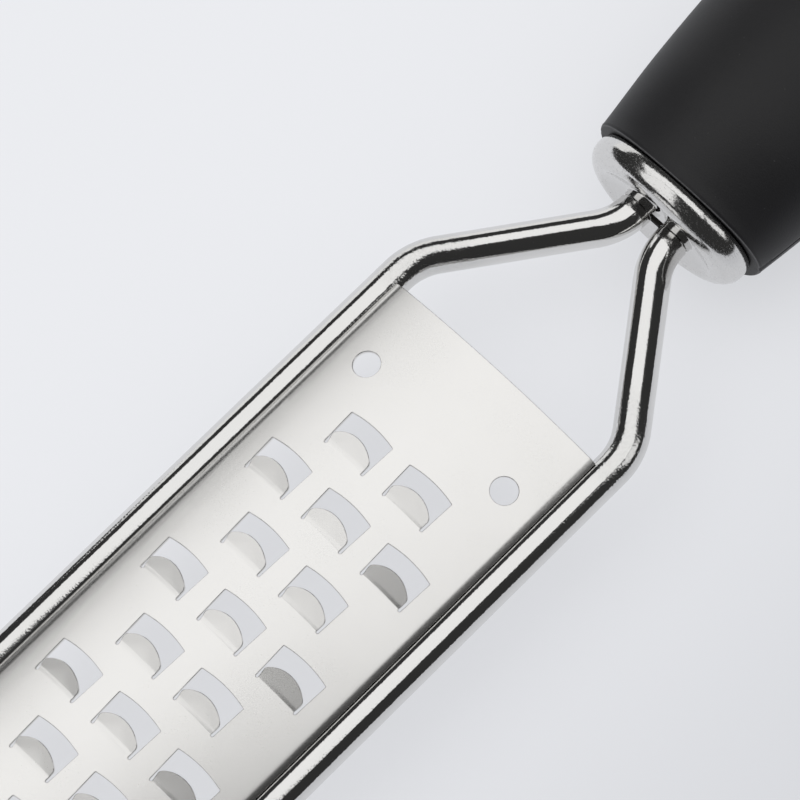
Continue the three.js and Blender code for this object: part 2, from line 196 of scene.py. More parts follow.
class GripSizes(bpy.types.PropertyGroup):
    """Sizes of the soft grip."""

    front: length("Front", 13.84, "Half width at the front")
    setback: length("Setback", 0.31, "How far the front stands back from the packed grip's")
    front_edge: length("Front edge", 0.4, "Rounding of the front edge")
    front_line: length("Front line", 0.05, "Height of the moulded line behind the front edge")
    # Where the painted highlight along the grip's front edge lies.
    highlight_setback: length("Pale line", 0.12, "Distance of the paler line from the front")
    front_dip: share("Front dip", 0.075, "How much flatter the front is")
    front_run: length("Front run", 12, "Length over which the front takes the grip's full height")
    front_flare: angle("Front flare", 7.4, "Slope of the sides behind the front edge")
    lift: length("Lift", 0.8, "How far the palm swell stands up out of the middle plane")
    lift_in: length("Lift in", 12, "Length over which the lift comes in, from the front")
    swell: length("Swell", 17, "Half width of the palm swell")
    swell_at: length("Swell at", 36, "Distance of the palm swell from the front")
    waist: length("Waist", 14.6, "Half width of the waist")
    waist_at: length("Waist at", 78, "Distance of the waist from the front")
    tail: length("Tail", 15.8, "Half width of the tail")
    tail_at: length("Tail at", 104, "Distance of the tail from the front")
    bore_half: length("Bore half width", 9.5, "Half width of the hollow for the core")
    hole: length("Hanging hole", 8, "Diameter of the hanging hole")
    hole_edge: length("Hole edge", 0.9, "Rounding of the hanging hole's edges")
    hole_at: length("Hole at", 12, "Distance of the hanging hole from the end")
    parting: length("Parting line", 0.44, "Width of the moulded parting line")
    parting_depth: length("Parting depth", 0.22, "Depth of the moulded parting line")


class Finishes(bpy.types.PropertyGroup):
    """Colours and gloss of the grater's surfaces."""

    blade: tint("Blade", (0.848, 0.838, 0.82), "Satin steel of the blade")
    blade_rough: share("Blade roughness", 0.26, "Roughness of the satin steel")
    cut: tint("Cut edge", (0.74, 0.73, 0.715), "Broken edges of the sheet")
    rod: tint("Rod", (0.73, 0.725, 0.713), "Bright steel of the rod")
    rod_rough: share("Rod roughness", 0.08, "Roughness of the bright steel")
    ferrule: tint("Ferrule", (0.73, 0.725, 0.715), "Bright steel of the ferrule")
    ferrule_rough: share("Ferrule roughness", 0.12, "Roughness of the ferrule")
    # weld: near-black colour of the block between the stubs.
    weld: tint("Weld", (0.018, 0.016, 0.014), "Burnt weld between the stubs")
    grip: tint("Grip", (0.0056, 0.0055, 0.007), "Soft black of the grip")
    grip_rough: share("Grip roughness", 0.52, "Roughness of the grip")
    dust: tint("Dust", (0.09, 0.09, 0.092), "Specks of dust on the grip")
    # line: colour of the painted highlight along the grip's front edge.
    line: tint("Line", (0.12, 0.12, 0.125), "Paler line at the grip's front edge")
    core: tint("Core", (0.02, 0.02, 0.021), "Hard black of the core")


class Studio(bpy.types.PropertyGroup):
    """Floor, lamps and camera."""

    floor: tint("Floor", (0.81, 0.82, 0.85), "Pale floor")
    glow: share("Floor glow", 0.68, "How much of the floor's paleness needs no lamp")
    # Painted shade: the floor's colour on its darker side, towards -Y, where less light falls.
    floor_shaded_side: tint("Floor edge", (0.675, 0.685, 0.715), "Pale floor towards its dim side")
    key: level("Key", 1.05, "Brightness of the large panel overhead")
    back: level("Back", 0.9, "Brightness of the low panel behind")
    over: level("Over", 1.01, "Brightness of the second panel overhead")
    side: level("Side", 0.9, "Brightness of the panel at the side")
    end: level("End", 0.8, "Brightness of the low panel past the blade")
    fill: level("Fill", 0.72, "Even light that reaches matt surfaces")
    dark: level("Dark", 0.035, "Brightness of the dark room between the panels")
    heading: angle("Heading", 57.23504, "Camera heading, from +X towards +Y")
    tilt: angle("Tilt", 70.07131, "How far the camera looks down")
    roll: angle("Roll", -12.9478, "Turn of the camera round its view")
    lens: level("Lens", 180, "Focal length in millimetres, on a 36 mm sensor")
    place: bpy.props.FloatVectorProperty(
        name="Camera",
        description="Place of the camera",
        default=(-94.7003 * MM, -135.5603 * MM, 466.5119 * MM),
        size=3,
        unit="LENGTH",
        subtype="TRANSLATION",
    )


class GraterSettings(bpy.types.PropertyGroup):
    """Everything that can be changed on the grater."""

    blade: group("Blade", BladeSizes)
    rod: group("Rod", RodSizes)
    ferrule: group("Ferrule", FerruleSizes)
    grip: group("Grip", GripSizes)
    finish: group("Finishes", Finishes)
    studio: group("Studio", Studio)


class Value:
    """A node's output that can be used in sums."""

    def __init__(self, tree, socket):
        self.tree = tree
        self.socket = socket

    def __add__(self, other):
        return self.tree.sum("ADD", self, other)

    def __radd__(self, other):
        return self.tree.sum("ADD", other, self)

    def __sub__(self, other):
        return self.tree.sum("SUBTRACT", self, other)

    def __rsub__(self, other):
        return self.tree.sum("SUBTRACT", other, self)

    def __mul__(self, other):
        return self.tree.sum("MULTIPLY", self, other)

    def __rmul__(self, other):
        return self.tree.sum("MULTIPLY", other, self)

    def __truediv__(self, other):
        return self.tree.sum("DIVIDE", self, other)

    def __pow__(self, other):
        return self.tree.sum("POWER", self, other)

    def __abs__(self):
        return self.tree.sum("ABSOLUTE", self)


class Tree:
    """The nodes of a material or of the world."""

    def __init__(self, owner):
        owner.use_nodes = True
        self.made = owner.node_tree
        self.made.nodes.clear()

    def node(self, kind, settings=None, sockets=None):
        """Adds a node, and gives its outputs by name."""
        node = self.made.nodes.new(kind)
        for name, setting in (settings or {}).items():
            setattr(node, name, setting)
        for name, value in (sockets or {}).items():
            self.feed(self.socket(node, name), value)
        return {s.name: Value(self, s) for s in reversed(node.outputs) if s.enabled}

    def socket(self, node, name):
        if isinstance(name, int):
            return node.inputs[name]
        return next(s for s in node.inputs if s.name == name and s.enabled)

    def feed(self, socket, value):
        if isinstance(value, Value):
            self.made.links.new(value.socket, socket)
        else:
            socket.default_value = value

    def sum(self, operation, *terms):
        sockets = dict(enumerate(terms))
        return self.node("ShaderNodeMath", {"operation": operation}, sockets)["Value"]

    def ease(self, value, low, high):
        """Goes smoothly from 0 to 1 as a value goes from low to high."""
        sockets = {"Value": value, "From Min": low, "From Max": high}
        settings = {"interpolation_type": "SMOOTHSTEP"}
        return self.node("ShaderNodeMapRange", settings, sockets)["Result"]

    def blend(self, factor, first, second):
        """Mixes two colours."""
        sockets = {"Factor": factor, "A": first, "B": second}
        return self.node("ShaderNodeMix", {"data_type": "RGBA"}, sockets)["Result"]

    def stretched(self, place, scale):
        sockets = {0: place, 1: scale}
        return self.node("ShaderNodeVectorMath", {"operation": "MULTIPLY"}, sockets)["Vector"]

    def grain(self, place, size, detail=2.0, rough=0.5):
        """Noise with grains of a size in millimetres."""
        sockets = {"Vector": place, "Scale": 1 / (size * MM), "Detail": detail, "Roughness": rough}
        return self.node("ShaderNodeTexNoise", None, sockets)["Fac"]

    def object_place(self):
        return self.node("ShaderNodeTexCoord")["Object"]

    def along(self, place):
        """The three coordinates of a place."""
        return self.node("ShaderNodeSeparateXYZ", None, {"Vector": place})

    def bump(self, height, micrometres):
        sockets = {"Height": height, "Distance": micrometres * MM * MM, "Strength": 1}
        return self.node("ShaderNodeBump", None, sockets)["Normal"]

    def surface(self, colour, rough, normal, metallic=0, specular=0.5):
        sockets = {
            "Base Color": colour,
            "Metallic": metallic,
            "Roughness": rough,
            "Specular IOR Level": specular,
            "Normal": normal,
        }
        shader = self.node("ShaderNodeBsdfPrincipled", None, sockets)["BSDF"]
        self.node("ShaderNodeOutputMaterial", None, {"Surface": shader})


def finish(name):
    material = bpy.data.materials.new(name)
    return material, Tree(material)


def solid(colour, strength=1):
    return (*(Vector(colour) * strength), 1)


def satin_steel(look):
    """Satin sheet: even, with a fine grain and faint rolling lines along the blade."""
    material, tree = finish("satin_steel")
    place = tree.object_place()
    grain = tree.grain(place, 0.14, 2)
    lines = tree.grain(tree.stretched(place, (0.04, 1, 1)), 0.12, 2)
    cloud = tree.grain(place, 9, 3)
    rough = look.blade_rough + (cloud - 0.5) * 0.04 + (grain - 0.5) * 0.06
    shade = tree.blend(cloud, solid(look.blade), solid(look.blade, 0.98))
    tree.surface(shade, rough, tree.bump(grain + lines * 0.5, 0.16), metallic=1)
    return material


def cut_edge(look):
    """Plain steel on the sheet's broken edges."""
    material, tree = finish("cut_edge")
    place = tree.object_place()
    tear = tree.grain(tree.stretched(place, (1, 1, 0.25)), 0.08, 3)
    shade = tree.blend(tear, solid(look.cut, 0.75), solid(look.cut))
    tree.surface(shade, 0.2 + tear * 0.15, tree.bump(tear, 2), metallic=1)
    return material


def bright_rod(look, bends):
    """Polished rod, with a coarser skin where it has been bent."""
    material, tree = finish("bright_rod")
    place = tree.object_place()
    x = tree.along(place)["X"]
    worked = 0
    for centre, reach in bends:
        worked = worked + (1 - tree.ease(abs(x - centre), reach * 0.6, reach))
    skin = tree.grain(place, 0.28, 1)
    pits = tree.ease(tree.grain(place, 0.11, 1), 0.57, 0.7)
    wave = tree.grain(place, 2.2, 2)
    rough = look.rod_rough + pits * (0.05 + worked * 0.12) + (wave - 0.5) * 0.03
    height = skin * (0.24 + worked * 0.5)
    shade = tree.blend(skin * worked, solid(look.rod), solid(look.rod, 0.9))
    tree.surface(shade, rough, tree.bump(height, 30), metallic=1)
    return material


def bright_ferrule(look, ferrule):
    """Polished ferrule with a fine speckle, streaked round the rim."""
    material, tree = finish("bright_ferrule")
    place = tree.object_place()
    spot = tree.along(place)
    half_height = ferrule.half_width * ferrule.flatness
    out = (spot["Y"] / ferrule.half_width) ** 2 + (spot["Z"] / half_height) ** 2
    rim = tree.ease(out, 0.3, 0.5)
    speckle = tree.grain(tree.stretched(place, (1, 0.45, 0.45)), 0.14, 1)
    pits = tree.ease(speckle, 0.55, 0.68) * rim
    wave = tree.grain(tree.stretched(place, (1, 0.4, 0.4)), 1.2, 2)
    rough = look.ferrule_rough + pits * 0.16 + (wave - 0.5) * 0.04
    height = (speckle * 0.4 + wave * 0.8) * (rim * 0.9 + 0.1)
    shade = tree.blend(speckle, solid(look.ferrule), solid(look.ferrule, 0.9))
    tree.surface(shade, rough, tree.bump(height, 18), metallic=1)
    return material


def dark_web(look):
    """Near-black, grainy surface of the block between the stubs."""
    material, tree = finish("dark_web")
    place = tree.object_place()
    grain = tree.grain(place, 0.25, 3, 0.6)
    shade = tree.blend(grain, solid(look.weld, 0.5), solid(look.weld))
    tree.surface(shade, 0.7 + grain * 0.2, tree.bump(grain, 25), specular=0.2)
    return material


def soft_black(look, highlight_x, ferrule):
    """Matt soft-touch skin with a fine grain, a little dust and a painted highlight along its front
    edge.
    """
    material, tree = finish("soft_black")
    place = tree.object_place()
    grain = tree.grain(place, 0.22, 2, 0.6)
    cloud = tree.grain(place, 6, 3)
    dust = tree.ease(tree.grain(place, 0.45, 1), 0.76, 0.84)
    shade = tree.blend(cloud, solid(look.grip), solid(look.grip, 1.25))
    shade = tree.blend(dust * 0.35, shade, solid(look.dust))
    spot = tree.along(place)
    # Painted highlight: a paler line along the grip's front edge, where the edge catches the light.
    off = abs(spot["X"] + joint_bow(ferrule, spot["Z"]) - highlight_x)
    line = 1 - tree.ease(off, 0.04 * MM, 0.11 * MM)
    shade = tree.blend(line * grain, shade, solid(look.line))
    rough = look.grip_rough + (cloud - 0.5) * 0.06 + (grain - 0.5) * 0.08
    tree.surface(shade, rough, tree.bump(grain, 14))
    return material


def hard_black(look):
    """Moulded plastic with a faint flow pattern."""
    material, tree = finish("hard_black")
    place = tree.object_place()
    flow = tree.grain(tree.stretched(place, (0.2, 1, 1)), 1.4, 3)
    shade = tree.blend(flow, solid(look.core), solid(look.core, 1.4))
    tree.surface(shade, 0.38 + flow * 0.12, tree.bump(flow, 10))
    return material


class Pen:
    """Draws a chain of edges from point to point."""

    def __init__(self, bm, start):
        self.bm = bm
        self.tip = bm.verts.new(start)

    def line(self, point):
        made = bmesh.ops.extrude_vert_indiv(self.bm, verts=[self.tip])
        self.tip = made["verts"][0]
        self.tip.co = point
        return self

    def arc(self, centre, turn, steps, axis=(0, 0, 1)):
        for _ in range(steps):
            made = bmesh.ops.spin(
                self.bm, geom=[self.tip], cent=centre, axis=axis, angle=turn / steps, steps=1
            )
            self.tip = next(g for g in made["geom_last"] if isinstance(g, bmesh.types.BMVert))

    def curve(self, handle, end_handle, end, steps):
        for point in interpolate_bezier(self.tip.co, handle, end_handle, end, steps + 1)[1:]:
            self.line(point)


class RodBender:
    """Carries a ring of edges through straights and bends in the plane of the frame."""

    def __init__(self, bm, radius, sides, place, heading):
        self.bm = bm
        self.place = Vector(place)
        self.heading = heading
        facing = Matrix.Rotation(heading, 4, "Z") @ Matrix.Rotation(QUARTER, 4, "Y")
        made = bmesh.ops.create_circle(
            bm, segments=sides, radius=radius, matrix=Matrix.Translation(place) @ facing
        )
        self.verts = made["verts"]
        self.edges = list(dict.fromkeys(e for v in self.verts for e in v.link_edges))
        self.first = self.edges

    def ahead(self):
        return Vector((math.cos(self.heading), math.sin(self.heading), 0))

    def keep(self, geom):
        self.verts = [g for g in geom if isinstance(g, bmesh.types.BMVert)]
        self.edges = [g for g in geom if isinstance(g, bmesh.types.BMEdge)]

    def straight(self, run):
        made = bmesh.ops.extrude_edge_only(self.bm, edges=self.edges)
        self.keep([g for g in made["geom"] if not isinstance(g, bmesh.types.BMFace)])
        bmesh.ops.translate(self.bm, verts=self.verts, vec=self.ahead() * run)
        self.place += self.ahead() * run

    def bend(self, radius, turn, steps):
        side = Vector((-math.sin(self.heading), math.cos(self.heading), 0))
        centre = self.place + side * math.copysign(radius, turn)
        made = bmesh.ops.spin(
            self.bm,
            geom=self.verts + self.edges,
            cent=centre,
            axis=(0, 0, 1),
            angle=turn,
            steps=steps,
        )
        self.keep(made["geom_last"])
        self.place = centre + Matrix.Rotation(turn, 3, "Z") @ (self.place - centre)
        self.heading += turn


def whole(bm):
    return bm.verts[:] + bm.edges[:] + bm.faces[:]


def closed(bm):
    """Welds the seams of a shell and turns its faces outwards."""
    bmesh.ops.remove_doubles(bm, verts=bm.verts, dist=WELD)
    bmesh.ops.recalc_face_normals(bm, faces=bm.faces)


def rounded(bm, edges, offset, segments):
    bmesh.ops.bevel(
        bm,
        geom=edges,
        offset=offset,
        affect="EDGES",
        segments=segments,
        profile=0.5,
        material=-1,
    )


def eased(share):
    """Goes smoothly from 0 to 1, and stays there on both sides."""
    share = min(max(share, 0), 1)
    return share * share * (3 - 2 * share)


def turned(bm, steps, axis_y=0.0, flatness=1.0):
    """Spins a drawn profile round the long axis and closes it."""
    bmesh.ops.spin(
        bm,
        geom=bm.verts[:] + bm.edges[:],
        cent=(0, axis_y, 0),
        axis=(1, 0, 0),
        angle=2 * math.pi,
        steps=steps,
        use_merge=True,
    )
    closed(bm)
    bmesh.ops.scale(bm, verts=bm.verts, vec=(1, 1, flatness))


def made_object(name, bm, *materials):
    mesh = bpy.data.meshes.new(name)
    bm.to_mesh(mesh)
    bm.free()
    for material in materials:
        mesh.materials.append(material)
    made = bpy.data.objects.new(name, mesh)
    bpy.context.collection.objects.link(made)
    return made


def settled(made):
    """Gives an object the mesh that its modifiers make."""
    bpy.context.view_layer.update()
    graph = bpy.context.evaluated_depsgraph_get()
    mesh = bpy.data.meshes.new_from_object(made.evaluated_get(graph))
    mesh.name = made.name
    made.modifiers.clear()
    old = made.data
    made.data = mesh
    bpy.data.meshes.remove(old)


def joined(made, other, operation):
    """Joins another solid to an object, or cuts it out, and takes out the slivers this leaves."""
    boolean = made.modifiers.new(operation.lower(), "BOOLEAN")
    boolean.operation = operation
    boolean.solver = "EXACT"
    boolean.object = other
    settled(made)
    mesh = other.data
    bpy.data.objects.remove(other)
    bpy.data.meshes.remove(mesh)
    if not made.data.polygons:
        raise RuntimeError(f"{made.name} was lost in a cut")
    bm = bmesh.new()
    bm.from_mesh(made.data)
    bmesh.ops.remove_doubles(bm, verts=bm.verts, dist=WELD)
    bmesh.ops.dissolve_degenerate(bm, dist=WELD, edges=bm.edges)
    bm.to_mesh(made.data)
    bm.free()


def evened(made):
    """Lets the large faces lead the shading, so that narrow ones beside them don't bend it."""
    even = made.modifiers.new("even", "WEIGHTED_NORMAL")
    even.keep_sharp = True


def fitted(made, node, crease):
    """Shades a finished piece and puts it in its CAD node's place."""
    made.data.shade_smooth()
    made.data.set_sharp_from_angle(angle=math.radians(crease))
    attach(made, BODY)
    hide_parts(node)


def tooth_places(sizes):
    """Where the tongues' roots lie, along the blade and across it."""
    for row in range(sizes.rows):
        x = -sizes.first_row - row * sizes.row_pitch - sizes.window
        teeth = 3 if row % 2 else 2
        for tooth in range(teeth):
            yield x, (tooth - (teeth - 1) / 2) * sizes.column_pitch


def draw_cutout(sizes):
    """A window's outline round its tongue, half drawn and mirrored, with X = 0 at the root."""
    bm = bmesh.new()
    edge = sizes.edge
    mouth = sizes.mouth / 2 - edge
    window = sizes.window - edge
    root = sizes.root / 2 - edge
    slit = sizes.slit / 2 - edge
    bow_radius = mouth**2 / (2 * sizes.mouth_bow) + sizes.mouth_bow / 2
    bow_x = window + sizes.mouth_bow - bow_radius
    bow_end = math.asin(mouth / bow_radius) - sizes.mouth_corner / bow_radius
    corner = Vector((window, mouth, 0))
    slit_end = Vector((0, root, 0))
    down = (slit_end - corner).normalized()
    tip = sizes.tip / 2 + edge
    round_off = sizes.tip_corner + edge
    tip_radius = sizes.tip**2 / (8 * sizes.tip_bow) + sizes.tip_bow / 2 + edge
    tip_x = sizes.reach + edge - tip_radius
    inset = tip_radius - round_off
    tip_turn = math.asin((tip - round_off) / inset)
    tip_corner = Vector((tip_x + inset * math.cos(tip_turn), tip - round_off, 0))

    pen = Pen(bm, (window + sizes.mouth_bow, 0, 0))
    pen.arc((bow_x, 0, 0), bow_end, 8)
    pen.curve(corner, corner, corner + down * sizes.mouth_corner, 4)
    pen.line(slit_end)
    pen.arc(slit_end - Vector((0, slit, 0)), math.pi, 8)
    pen.line(tip_corner + Vector((0, round_off, 0)))
    pen.arc(tip_corner, tip_turn - QUARTER, 6)
    pen.arc((tip_x, 0, 0), -tip_turn, 9)
    bmesh.ops.mirror(bm, geom=bm.verts[:] + bm.edges[:], axis="Y", merge_dist=WELD)
    cutout = bpy.data.meshes.new("cutout")
    bm.to_mesh(cutout)
    bm.free()
    return cutout


class ArchedSection:
    """The blade's cross-section, as a place for each distance along the sheet."""

    def __init__(self, sizes, rod):
        reach = rod.rod / 2 + sizes.weld
        foot_y = rod.rails / 2 - reach * math.cos(sizes.seat)
        self.foot = Vector((foot_y, reach * math.sin(sizes.seat)))
        self.arch = sizes.arch
        self.bend = sizes.lip_bend
        self.lip_angle = sizes.lip_angle
        lip = Vector((math.cos(sizes.lip_angle), -math.sin(sizes.lip_angle))) * sizes.lip
        turn = Vector((math.sin(sizes.lip_angle), math.cos(sizes.lip_angle))) * sizes.lip_bend
        self.bend_centre = self.foot - lip - turn
        self.span = math.asin(self.bend_centre.x / (self.arch - self.bend))
        self.axis_z = self.bend_centre.y - (self.arch - self.bend) * math.cos(self.span)
        self.arch_end = self.arch * self.span
        self.bend_end = self.arch_end + self.bend * (sizes.lip_angle - self.span)
        self.half = self.bend_end + sizes.lip

    def place(self, across, lift):
        """Y and Z for a distance from the crown and a height above the sheet."""
        side = math.copysign(1, across)
        run = abs(across)
        if run <= self.arch_end:
            turn = run / self.arch
            out = self.arch + lift
            return side * out * math.sin(turn), self.axis_z + out * math.cos(turn)
        turn = min(self.span + (run - self.arch_end) / self.bend, self.lip_angle)
        out = self.bend + lift
        rest = max(run - self.bend_end, 0)
        y = self.bend_centre.x + out * math.sin(turn) + rest * math.cos(self.lip_angle)
        z = self.bend_centre.y + out * math.cos(turn) - rest * math.sin(self.lip_angle)
        return side * y, z


def slice_sheet(bm, at, normal):
    bmesh.ops.bisect_plane(bm, geom=whole(bm), dist=WELD, plane_co=at, plane_no=normal)


class GRATER_OT_blade(bpy.types.Operator):
    """Punch, bend and arch the toothed blade"""

    bl_idname = "grater.blade"
    bl_label = "Blade"

    def execute(self, context):
        settings = context.scene.grater
        sizes = settings.blade
        section = ArchedSection(sizes, settings.rod)
        bm = bmesh.new()
        self.outline(bm, sizes, section)
        bmesh.ops.triangle_fill(bm, edges=bm.edges, normal=(0, 0, 1), use_beauty=True)
        if not bm.faces:
            raise RuntimeError("The blade's outline was not filled")
        self.break_edges(bm, sizes)
        self.slice(bm, sizes, section)
        self.thicken(bm, sizes)
        self.lift_tongues(bm, sizes)
        for vert in bm.verts:
            vert.co.y, vert.co.z = section.place(vert.co.y, vert.co.z)
        bmesh.ops.translate(bm, verts=bm.verts, vec=(blade_high.x + sizes.overhang, 0, 0))
        bmesh.ops.recalc_face_normals(bm, faces=bm.faces)
        look = settings.finish
        blade = made_object("blade", bm, satin_steel(look), cut_edge(look))
        fitted(blade, "grater_blade", 20)
        return {"FINISHED"}

    def outline(self, bm, sizes, section):
        """The sheet's outline, the cut-outs and the two round holes, flat."""
        pen = Pen(bm, (0, -section.half, 0))
        pen.line((0, section.half, 0)).line((-sizes.span, section.half, 0))
        pen.line((-sizes.span, -section.half, 0)).line((0, -section.half, 0))
        cutout = draw_cutout(sizes)
        for x, across in tooth_places(sizes):
            known = set(bm.verts)
            bm.from_mesh(cutout)
            fresh = [v for v in bm.verts if v not in known]
            bmesh.ops.translate(bm, verts=fresh, vec=(x, across, 0))
        bpy.data.meshes.remove(cutout)
        for side in (-1, 1):
            centre = Matrix.Translation((-sizes.hole_setback, side * sizes.hole_spacing / 2, 0))
            radius = sizes.hole / 2 - sizes.edge
            bmesh.ops.create_circle(bm, segments=40, radius=radius, matrix=centre)
        bmesh.ops.remove_doubles(bm, verts=bm.verts, dist=WELD)

    def slice(self, bm, sizes, section):
        """Cuts the sheet where it bends."""
        arch_steps = 30
        for step in range(arch_steps + 1):
            across = section.arch_end * (2 * step / arch_steps - 1)
            slice_sheet(bm, (0, across, 0), (0, 1, 0))
        bend_steps = 6
        for step in range(1, bend_steps + 1):
            across = section.arch_end + (section.bend_end - section.arch_end) * step / bend_steps
            slice_sheet(bm, (0, across, 0), (0, 1, 0))
            slice_sheet(bm, (0, -across, 0), (0, 1, 0))
        reach = sizes.bend * math.sin(sizes.rise)
        root_steps = 5
        for root in sorted({x for x, _ in tooth_places(sizes)}):
            for step in range(root_steps + 1):
                slice_sheet(bm, (root + reach * step / root_steps, 0, 0), (1, 0, 0))

    def break_edges(self, bm, sizes):
        """Gives the cut edges a narrow slope."""
        rim = [v for v in bm.verts if v.is_boundary]
        strip = bmesh.ops.inset_region(
            bm, faces=bm.faces[:], thickness=sizes.edge, use_boundary=True, use_even_offset=True
        )["faces"]
        for face in strip:
            face.material_index = 1
        for vert in rim:
            vert.co.z = -sizes.edge

    def thicken(self, bm, sizes):
        """Gives the sheet its thickness, with the same broken edges below."""
        made = bmesh.ops.extrude_face_region(bm, geom=bm.faces[:], use_keep_orig=True)["geom"]
        below = {g for g in made if isinstance(g, bmesh.types.BMVert)}
        for vert in below:
            vert.co.z = -sizes.sheet - vert.co.z
        for face in bm.faces:
            if 0 < sum(v in below for v in face.verts) < len(face.verts):
                face.material_index = 0

    def lift_tongues(self, bm, sizes):
        """Bends each tongue up out of the sheet, flat past its bend and ground to an edge."""
        reach = sizes.bend * math.sin(sizes.rise)
        rise = sizes.bend * (1 - math.cos(sizes.rise))
        limit = (sizes.tip + sizes.root) / 4
        ends = sizes.reach + sizes.slit / 2
        for root, centre in tooth_places(sizes):
            for vert in bm.verts:
                x = vert.co.x - root
                if not 0 < x < ends or abs(vert.co.y - centre) > limit:
                    continue
                turn = math.asin(min(x, reach) / sizes.bend)
                depth = vert.co.z
                lift = sizes.bend * (1 - math.cos(turn))
                if x > reach:
                    lift = rise + (x - reach) * math.tan(sizes.rise)
                flat = (vert.co.y - centre) ** 2 / (2 * sizes.arch) * min(x / reach, 1)
                ground = sizes.grind * depth / sizes.sheet * x / sizes.reach
                vert.co.x += ground - depth * math.sin(turn)
                vert.co.z = lift + flat + ground * math.tan(turn) + depth * math.cos(turn)


class GRATER_OT_frame(bpy.types.Operator):
    """Bend the rod frame"""

    bl_idname = "grater.frame"
    bl_label = "Rod frame"

    def execute(self, context):
        settings = context.scene.grater
        sizes = settings.rod
        radius = sizes.rod / 2
        rail = sizes.rails / 2
        stub = sizes.stubs / 2
        neck = math.hypot(rail - stub, (rail - stub) / math.tan(sizes.neck_angle))
        neck_reach = sizes.neck_bend * math.tan(sizes.neck_angle / 2)
        stub_reach = sizes.stub_bend * math.tan(sizes.neck_angle / 2)
        neck_x = blade_high.x + sizes.neck_setback
        stub_x = neck_x + (rail - stub) / math.tan(sizes.neck_angle)
        end_x = stub_x + stub_reach + sizes.end_straight
        far_x = rod_low.x + radius

        bm = bmesh.new()
        rod = RodBender(bm, radius, 40, (end_x, stub, 0), math.pi)
        rod.straight(sizes.end_straight)
        rod.bend(sizes.stub_bend, -sizes.neck_angle, 14)
        rod.straight(neck - neck_reach - stub_reach)
        rod.bend(sizes.neck_bend, sizes.neck_angle, 18)
        rod.straight(neck_x - neck_reach - far_x - sizes.far_bend)
        rod.bend(sizes.far_bend, QUARTER, 30)
        rod.straight(rail - sizes.far_bend)
        self.finish_end(bm, rod.first, sizes)
        bmesh.ops.mirror(bm, geom=whole(bm), axis="Y", merge_dist=WELD * 10)
        closed(bm)
        bends = [
            (neck_x, sizes.neck_bend * 0.75),
            (far_x + sizes.far_bend / 2, sizes.far_bend),
        ]
        frame_piece = made_object("rod_frame", bm, bright_rod(settings.finish, bends))
        evened(frame_piece)
        fitted(frame_piece, "wire_frame", 40)
        return {"FINISHED"}

    def finish_end(self, bm, rim, sizes):
        """Cuts the rod a little slanted, rounds its edge and draws out a tenon."""
        inner = (sizes.stubs - sizes.rod) / 2
        for vert in {v for e in rim for v in e.verts}:
            vert.co.x -= (vert.co.y - inner) * math.tan(sizes.end_slant)
        cap = bmesh.ops.edgeloop_fill(bm, edges=rim)["faces"]
        inset = sizes.rod / 2 - sizes.tenon / 2
        bmesh.ops.inset_region(bm, faces=cap, thickness=inset, use_even_offset=True)
        tenon = bmesh.ops.extrude_discrete_faces(bm, faces=cap)["faces"]
        verts = list({v for f in tenon for v in f.verts})
        bmesh.ops.translate(bm, verts=verts, vec=(sizes.tenon_length, 0, 0))
        rounded(bm, [e for e in rim if e.is_valid], sizes.end_edge, 3)


def joint_bow(ferrule, z):
    """How far the joint between ferrule and grip lies forward at a height."""
    return ferrule.bow * (z / (ferrule.half_width * ferrule.flatness)) ** 2


